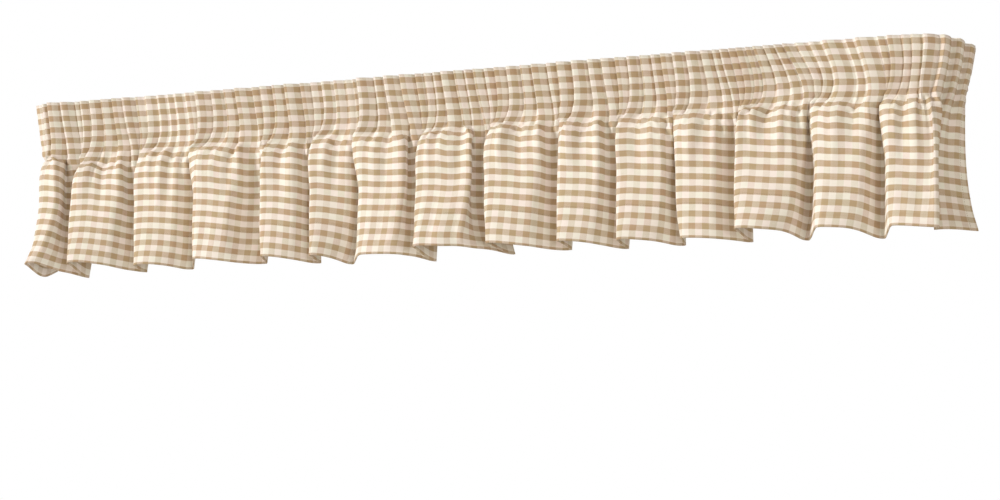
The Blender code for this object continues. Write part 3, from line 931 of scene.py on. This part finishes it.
@dataclass(frozen=True)
class SewingThread:
    """The thread of the hems."""

    colour: tuple[float, float, float, float] = (0.36, 0.24, 0.13, 1.0)
    shade: tuple[float, float, float, float] = (0.28, 0.185, 0.10, 1.0)
    roughness: float = 0.6
    twist_relief: float = 0.00008

    def material(self) -> bpy.types.Material:
        """The thread's material, lightly twisted."""
        made = bpy.data.materials.new("hem_thread")
        made.use_nodes = True
        graph = Graph(made.node_tree)
        shader = made.node_tree.nodes["Principled BSDF"]
        place = graph.node("ShaderNodeTexCoord").outputs["Object"]
        inputs = {"Vector": place, "Scale": 1500.0, "Detail": 1.0}
        twist = graph.value("ShaderNodeTexNoise", inputs=inputs)
        colour = graph.mixed(twist, self.colour, self.shade)
        graph.tree.links.new(colour, shader.inputs["Base Color"])
        bump = graph.node("ShaderNodeBump", inputs={"Height": twist * self.twist_relief, "Distance": 1.0})
        graph.tree.links.new(bump.outputs[0], shader.inputs["Normal"])
        shader.inputs["Roughness"].default_value = self.roughness
        return made


# The pieces


@dataclass
class ValanceCloth:
    """The valance's one cloth: heading, skirt and hems, with a thickness that doubles in the hems."""

    hung: HungCloth
    finish: Gingham
    thickness: float = 0.0007
    doubled_thickness: float = 0.0016
    top_turning: float = 0.012
    pleat_shares: tuple[float, ...] = (0.0, 0.12, 0.28, 0.34, 0.40, 0.52, 0.66, 0.80, 0.94)
    knot_relief: float = 0.0019
    knot_waves: tuple[tuple[float, float, float], ...] = (  # pitch, slope and phase
        (0.0171, 0.9, 0.3),
        (0.0117, -0.7, 1.9),
        (0.0233, 0.4, 4.1),
    )
    bake_columns: int = 2
    bake_rows: int = 4
    bake_margin: float = 0.004
    along: np.ndarray = field(init=False)
    drops: np.ndarray = field(init=False)
    front: np.ndarray = field(init=False)

    def __post_init__(self) -> None:
        """Works out the cloth's front."""
        lines = self.hung.pleat_lines
        across = lines[:-1, None] + np.diff(lines)[:, None] * np.array(self.pleat_shares)
        self.along = np.append(across.ravel(), lines[-1])
        seam = self.hung.drop - self.finish.hem_depth
        zones = (
            np.linspace(0, self.hung.heading - 0.006, 15),
            np.linspace(self.hung.heading - 0.003, self.hung.heading + 0.060, 22),
            np.linspace(self.hung.heading + 0.064, seam - 0.0008, 13),
            np.linspace(seam + 0.0008, self.hung.drop, 13),
        )
        self.drops = np.concatenate(zones)
        middle = self.hung.surface(self.along, self.drops)
        relief = self.hung.crease_heights(self.along, self.drops) + self.knots()
        self.front = middle + unit_normals(middle) * relief[:, :, None]

    def knots(self) -> np.ndarray:
        """Small knobs and hollows where the pleats are gathered into each fold, as heights."""
        across, down = np.meshgrid(self.along, self.drops)
        waves = np.zeros_like(across)
        for pitch, slope, phase in self.knot_waves:
            waves += np.sin(2 * np.pi * (across + slope * down) / pitch + phase) / len(self.knot_waves)
        near = np.exp(-(((down - self.hung.heading - 0.012) / 0.022) ** 2))
        return self.knot_relief * waves * near

    def layers(self) -> np.ndarray:
        """Thickness of the cloth at each point of the grid, more where it is turned up or in."""
        edge = self.finish.side_hem
        width = self.hung.flat_width
        sides = (self.along < edge) | (self.along > width - edge)
        turned = (self.drops > self.hung.drop - self.finish.hem_depth) | (self.drops < self.top_turning)
        double = turned[:, None] | sides[None, :]
        return np.where(double, self.doubled_thickness, self.thickness)

    def bake_map(self, across: np.ndarray, drop: np.ndarray, back: bool) -> np.ndarray:
        """Places in the export's square picture, with the cloth cut into strips.

        Args:
            across: Distances along the flat cloth, for corners of faces.
            drop: Depths, for the same corners. The first axis of both is the face.
            back: Whether the faces are the cloth's back.

        Returns:
            Pairs of coordinates from 0 to 1.
        """
        strips = self.bake_columns * self.bake_rows // 2
        length = self.hung.flat_width / strips
        strip = np.clip(across.mean(axis=1) // length, 0, strips - 1).astype(int)[:, None]
        cell = strip + strips * back
        column, row = cell % self.bake_columns, cell // self.bake_columns
        inside = 1 - 2 * self.bake_margin
        u = (column + self.bake_margin + inside * (across - strip * length) / length) / self.bake_columns
        v = (row + self.bake_margin + inside * (1 - drop / self.hung.drop)) / self.bake_rows
        return np.stack([u, v], axis=2)

    def build(self) -> bpy.types.Object:
        """Makes the cloth's mesh with its maps and material, and returns its object."""
        normals = unit_normals(self.front)
        back = self.front - normals * self.layers()[:, :, None]
        rows, count = self.front.shape[:2]
        size = rows * count
        grid = np.arange(size).reshape(rows, count)
        quads = np.stack([grid[:-1, :-1], grid[1:, :-1], grid[1:, 1:], grid[:-1, 1:]], axis=-1)
        face = quads.reshape(-1, 4)
        around = np.concatenate([grid[0, ::-1], grid[1:, 0], grid[-1, 1:], grid[-2:0:-1, -1]])
        after = np.roll(around, -1)
        rim = np.stack([around, after, after + size, around + size], axis=1)[:, ::-1]
        mesh = bpy.data.meshes.new("valance_cloth_detailed")
        vertices = np.concatenate([self.front.reshape(-1, 3), back.reshape(-1, 3)])
        faces = np.concatenate([face, face[:, ::-1] + size, rim])
        mesh.from_pydata(vertices.tolist(), [], faces.tolist())
        across, drop = np.meshgrid(self.along, self.drops)
        across, drop = (np.tile(values.ravel(), 2)[faces] for values in (across, drop))
        flat = np.stack([across, -drop], axis=2)
        is_back = np.repeat([False, True, False], [len(face), len(face), len(rim)])
        baked = np.where(
            is_back[:, None, None],
            self.bake_map(across, drop, back=True),
            self.bake_map(across, drop, back=False),
        )
        for layer, places in ((Layer.FLAT, flat), (Layer.BAKE, baked)):
            made = mesh.uv_layers.new(name=layer.value)
            made.uv.foreach_set("vector", places.reshape(-1).astype(np.float32))
        mesh.uv_layers.active = mesh.uv_layers[Layer.FLAT.value]
        mesh.shade_smooth()
        mesh.materials.append(self.finish.material(self.hung))
        mesh.validate()
        cloth = bpy.data.objects.new("valance_cloth_detailed", mesh)
        bpy.context.scene.collection.objects.link(cloth)
        return cloth

    def seam_points(self, seam: Seam) -> np.ndarray:
        """Points along a row of stitches on the cloth's front."""
        inset = self.finish.side_hem
        if seam is Seam.BOTTOM_HEM:
            row = int(np.searchsorted(self.drops, self.hung.drop - self.finish.hem_depth))
            return (self.front[row - 1] + self.front[row]) / 2
        wanted = inset if seam is Seam.LEFT_HEM else self.hung.flat_width - inset
        column = int(np.argmin(abs(self.along - wanted)))
        return self.front[:, column]


class Seam(Enum):
    """The rows of stitches that show."""

    BOTTOM_HEM = "bottom_hem_stitches"
    LEFT_HEM = "left_hem_stitches"
    RIGHT_HEM = "right_hem_stitches"


@dataclass
class StitchRow:
    """A row of lockstitches along a hem, made by Geometry Nodes."""

    seam: Seam
    cloth: ValanceCloth
    pitch: float = 0.0032
    length: float = 0.0025
    width: float = 0.0006
    height: float = 0.00035
    seed: int = 7

    def tree(self, material: bpy.types.Material) -> bpy.types.NodeTree:
        """The node tree that sets a small rounded stitch at every pitch of a line."""
        made = bpy.data.node_groups.new("stitch_row", "GeometryNodeTree")
        face = made.interface
        face.new_socket("Line", in_out="INPUT", socket_type="NodeSocketGeometry")
        for name in ("Pitch", "Length", "Width", "Height"):
            face.new_socket(name, in_out="INPUT", socket_type="NodeSocketFloat")
        face.new_socket("Stitches", in_out="OUTPUT", socket_type="NodeSocketGeometry")
        graph = Graph(made)
        given = graph.node("NodeGroupInput").outputs
        curve = graph.node("GeometryNodeMeshToCurve", inputs={0: given["Line"]}).outputs[0]
        spaced = graph.node(
            "GeometryNodeResampleCurve", {"mode": "LENGTH"}, {"Curve": curve, "Length": given["Pitch"]}
        )
        size = graph.node(
            "ShaderNodeCombineXYZ", inputs={0: given["Length"], 1: given["Width"], 2: given["Height"]}
        )
        ball = graph.node(
            "GeometryNodeMeshUVSphere", inputs={"Segments": 6, "Rings": 5, "Radius": 0.5}
        )
        stitch = graph.node(
            "GeometryNodeTransform", inputs={"Geometry": ball.outputs[0], "Scale": size.outputs[0]}
        )
        tangent = graph.node("GeometryNodeInputTangent").outputs[0]
        turned = graph.node(
            "FunctionNodeAlignRotationToVector", {"axis": "X"}, {"Vector": tangent}
        )
        uneven = graph.node(
            "FunctionNodeRandomValue",
            {"data_type": "FLOAT_VECTOR"},
            {"Min": (0.88, 0.85, 0.85), "Max": (1.08, 1.15, 1.15), "Seed": self.seed},
        )
        placed = graph.node(
            "GeometryNodeInstanceOnPoints",
            inputs={
                "Points": spaced.outputs[0],
                "Instance": stitch.outputs[0],
                "Rotation": turned.outputs[0],
                "Scale": uneven.outputs[0],
            },
        )
        real = graph.node("GeometryNodeRealizeInstances", inputs={0: placed.outputs[0]})
        smooth = graph.node("GeometryNodeSetShadeSmooth", inputs={0: real.outputs[0]})
        dressed = graph.node(
            "GeometryNodeSetMaterial", inputs={"Geometry": smooth.outputs[0], "Material": material}
        )
        graph.node("NodeGroupOutput", inputs={"Stitches": dressed.outputs[0]})
        return made

    def build(self, material: bpy.types.Material) -> bpy.types.Object:
        """Sews the row.

        Args:
            material: The thread.

        Returns:
            One object with every stitch of the row.
        """
        points = self.cloth.seam_points(self.seam)
        line = bpy.data.meshes.new("stitch_line")
        line.from_pydata(points.tolist(), [(i, i + 1) for i in range(len(points) - 1)], [])
        guide = bpy.data.objects.new("stitch_line", line)
        bpy.context.scene.collection.objects.link(guide)
        modifier = guide.modifiers.new("stitches", "NODES")
        modifier.node_group = self.tree(material)
        sizes = {"Pitch": self.pitch, "Length": self.length, "Width": self.width, "Height": self.height}
        for item in modifier.node_group.interface.items_tree:
            if item.name in sizes:
                modifier[item.identifier] = sizes[item.name]
        evaluated = guide.evaluated_get(bpy.context.evaluated_depsgraph_get())
        mesh = bpy.data.meshes.new_from_object(evaluated)
        mesh.name = self.seam.value
        bpy.data.objects.remove(guide, do_unlink=True)
        row = bpy.data.objects.new(self.seam.value, mesh)
        bpy.context.scene.collection.objects.link(row)
        return row


@dataclass
class Studio:
    """A pale floor, soft light and the camera."""

    floor_height: float = -1.15
    floor_size: float = 24.0
    floor_colour: tuple[float, float, float, float] = (0.90, 0.90, 0.90, 1.0)
    world_strength: float = 0.43
    world_colour: tuple[float, float, float, float] = (1.0, 0.86, 0.62, 1.0)
    backdrop_radius: float = 40.0
    camera_place: tuple[float, float, float] = (1.9702, -3.5664, -0.627)
    camera_yaw: float = 28.009
    camera_pitch: float = 5.334
    lens: float = 107.68

    def floor(self) -> bpy.types.Object:
        """A wide plain floor under the valance."""
        half = self.floor_size / 2
        corners = [(-half, -half), (half, -half), (half, half), (-half, half)]
        mesh = bpy.data.meshes.new("floor")
        mesh.from_pydata([(x, y, self.floor_height) for x, y in corners], [], [(0, 1, 2, 3)])
        material = bpy.data.materials.new("pale_floor")
        material.use_nodes = True
        shader = material.node_tree.nodes["Principled BSDF"]
        shader.inputs["Base Color"].default_value = self.floor_colour
        shader.inputs["Roughness"].default_value = 0.9
        mesh.materials.append(material)
        floor = bpy.data.objects.new("floor", mesh)
        bpy.context.scene.collection.objects.link(floor)
        return floor

    def backdrop(self) -> bpy.types.Object:
        """A white dome all around, which the camera sees and which lights nothing."""
        bpy.ops.mesh.primitive_uv_sphere_add(radius=self.backdrop_radius, segments=48, ring_count=24)
        dome = bpy.context.object
        dome.name = "white_backdrop"
        material = bpy.data.materials.new("white_backdrop")
        material.use_nodes = True
        material.node_tree.nodes.remove(material.node_tree.nodes["Principled BSDF"])
        graph = Graph(material.node_tree)
        glow = graph.node("ShaderNodeEmission", inputs={"Color": (1.0, 1.0, 1.0, 1.0), "Strength": 1.0})
        output = material.node_tree.nodes["Material Output"]
        graph.tree.links.new(glow.outputs[0], output.inputs["Surface"])
        dome.data.materials.append(material)
        dome.visible_diffuse = dome.visible_glossy = dome.visible_transmission = False
        dome.visible_shadow = dome.visible_volume_scatter = False
        return dome

    def world(self) -> None:
        """Pale, slightly warm light from all around."""
        world = bpy.data.worlds.new("pale_room")
        world.use_nodes = True
        background = world.node_tree.nodes["Background"]
        background.inputs["Color"].default_value = self.world_colour
        background.inputs["Strength"].default_value = self.world_strength
        bpy.context.scene.world = world

    def lamp(self, name: str, place: Sequence[float], size: float, power: float) -> None:
        """A large square lamp that faces the valance."""
        light = bpy.data.lights.new(name, "AREA")
        light.size = size
        light.energy = power
        lamp = bpy.data.objects.new(name, light)
        bpy.context.scene.collection.objects.link(lamp)
        lamp.location = place
        aim = Vector((0.0, 0.0, -0.12)) - Vector(place)
        lamp.rotation_euler = aim.to_track_quat("-Z", "Y").to_euler()

    def camera(self) -> None:
        """The camera, to the right of the valance and below it."""
        data = bpy.data.cameras.new("camera")
        data.lens = self.lens
        data.sensor_width = 36.0
        camera = bpy.data.objects.new("camera", data)
        bpy.context.scene.collection.objects.link(camera)
        yaw, pitch = np.radians(self.camera_yaw), np.radians(self.camera_pitch)
        forward = (-np.sin(yaw) * np.cos(pitch), np.cos(yaw) * np.cos(pitch), np.sin(pitch))
        camera.location = self.camera_place
        camera.rotation_euler = Vector(forward).to_track_quat("-Z", "Y").to_euler()
        bpy.context.scene.camera = camera

    def build(self) -> None:
        """Sets up the whole studio."""
        self.floor()
        self.backdrop()
        self.world()
        self.lamp("window_light", (-16.0, -12.0, 7.0), 3.4, 3900.0)
        self.lamp("front_fill", (6.5, -6.5, 0.5), 3.0, 170.0)
        self.camera()
        bpy.context.scene.view_settings.view_transform = "Standard"


def corners(box: tuple[Vector, Vector]) -> list[list[float]]:
    """A box's lowest and highest corners as plain numbers."""
    return [[float(value) for value in corner] for corner in box]


def main() -> None:
    """Builds the pieces in order and reports each."""
    logging.basicConfig(level=logging.INFO, format="%(name)s: %(message)s")
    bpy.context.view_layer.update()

    finish = Gingham()
    cloth = ValanceCloth(HungCloth(), finish)
    sheet = cloth.build()
    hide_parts("valance_cloth")
    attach(sheet, "root")
    faces = len(sheet.data.polygons)
    log.info("%s: %d faces, %.3f m wide when flat", sheet.name, faces, cloth.hung.flat_width)

    thread = SewingThread().material()
    for seam in Seam:
        row = StitchRow(seam, cloth).build(thread)
        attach(row, "root")
        log.info("%s: %d faces", row.name, len(row.data.polygons))

    Studio().build()


if __name__ == "__main__":
    main()
